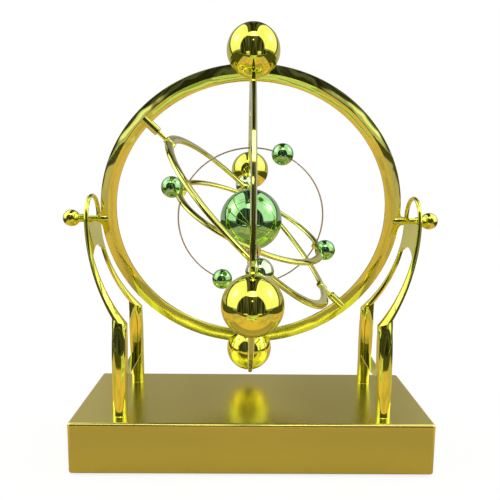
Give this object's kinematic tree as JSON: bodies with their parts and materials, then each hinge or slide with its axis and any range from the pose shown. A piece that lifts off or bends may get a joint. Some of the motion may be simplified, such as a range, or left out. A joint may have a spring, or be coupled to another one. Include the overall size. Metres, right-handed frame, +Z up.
{
  "type": "kinetic gimbal ornament",
  "caption": "Gold desk ornament: a cage of crossed rings swings between two stands on a box base, and a middle ring and a ball rotor spin freely inside it.",
  "frame": {"origin": "Middle of the underside, on the plane of the rubber feet.", "axes": "+X to the right along the level pivot axis, +Y to the back, +Z up."},
  "size_m": [0.1964, 0.1824, 0.2152],
  "materials": {
    "plated_gold": "polished plated gold",
    "satin_gold": "satin gold",
    "plated_green": "polished plated green",
    "plated_pale_green": "polished plated pale green",
    "steel": "bright steel",
    "copper": "enamelled copper wire",
    "dark_wire": "dark plated wire",
    "black_plastic": "matte",
    "circuit_board": "satin lacquer",
    "board_parts": "matte",
    "rubber": "matte",
    "cell_jacket": "gloss jacket"
  },
  "bodies": {
    "base": {"base_shell": "satin_gold", "base_cover": "black_plastic", "battery_door": "black_plastic", "rubber_feet": "rubber", "cover_screws": "steel", "leg_screws": "steel", "coil_bobbin": "black_plastic", "coil_winding": "copper", "coil_core": "steel", "circuit_board": "circuit_board", "board_parts": "board_parts", "board_screws": "steel", "battery_tray": "black_plastic", "battery_cells": "cell_jacket", "battery_contacts": "steel", "left_stand": "plated_gold", "right_stand": "plated_gold"},
    "cage": {"outer_ring": "plated_gold", "cross_ring_front": "plated_gold", "cross_ring_back": "plated_gold", "top_ball": "plated_gold", "front_ball": "plated_gold", "back_ball": "plated_gold", "bottom_ball": "plated_gold", "swing_magnet": "steel", "left_pivot_pin": "plated_gold", "right_pivot_pin": "plated_gold", "left_knob": "plated_gold", "right_knob": "plated_gold"},
    "middle": {"middle_ring": "plated_gold", "upper_middle_pin": "plated_gold", "lower_middle_pin": "plated_gold", "front_end_ball": "plated_pale_green", "back_end_ball": "plated_pale_green"},
    "rotor": {"rotor_axle": "steel", "centre_ball": "plated_green", "orbit_ring": "plated_gold", "orbit_wire": "dark_wire", "orbit_clips": "plated_gold", "planet_ball_left": "plated_green", "planet_ball_right": "plated_green", "planet_ball_upper": "plated_green", "planet_ball_lower": "plated_green"}
  },
  "joints": [
    {"name": "cage_swing", "type": "hinge", "parent": "base", "child": "cage", "pos_m": [-0.0012, 0, 0.124], "axis": [1, 0, 0], "continuous": true},
    {"name": "middle_spin", "type": "hinge", "parent": "cage", "child": "middle", "pos_m": [-0.0012, 0, 0.124], "axis": [-0.7071, -0.2302, 0.6686], "continuous": true},
    {"name": "rotor_spin", "type": "hinge", "parent": "middle", "child": "rotor", "pos_m": [-0.0012, 0, 0.124], "axis": [-0.0493, 0.9593, 0.2781], "continuous": true}
  ]
}
